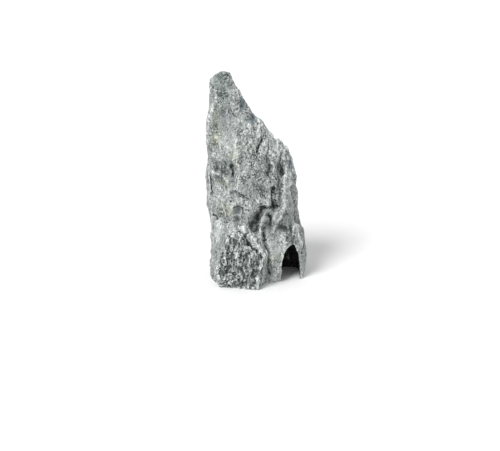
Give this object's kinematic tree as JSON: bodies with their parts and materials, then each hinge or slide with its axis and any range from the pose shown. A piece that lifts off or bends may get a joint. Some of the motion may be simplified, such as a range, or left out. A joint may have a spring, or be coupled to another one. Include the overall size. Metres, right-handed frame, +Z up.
{
  "type": "seiryu stone",
  "caption": "Upright grey limestone aquascape stone: a tapering spire with a rough buttress, carved grooves and a hollow beside a thin leg, on a flat foot.",
  "frame": {"origin": "on the ground, under the middle of the stone's bounding box", "axes": "+Z up along the spire, +X to the right and -Y out of the broad face with the buttress"},
  "size_m": [0.1148, 0.0878, 0.2354],
  "materials": {
    "stone": "dry grey limestone, matt and rough, with pale ridges, dark hollows and cream to olive stains"
  },
  "bodies": {
    "root": {"stone": "stone"}
  },
  "joints": []
}
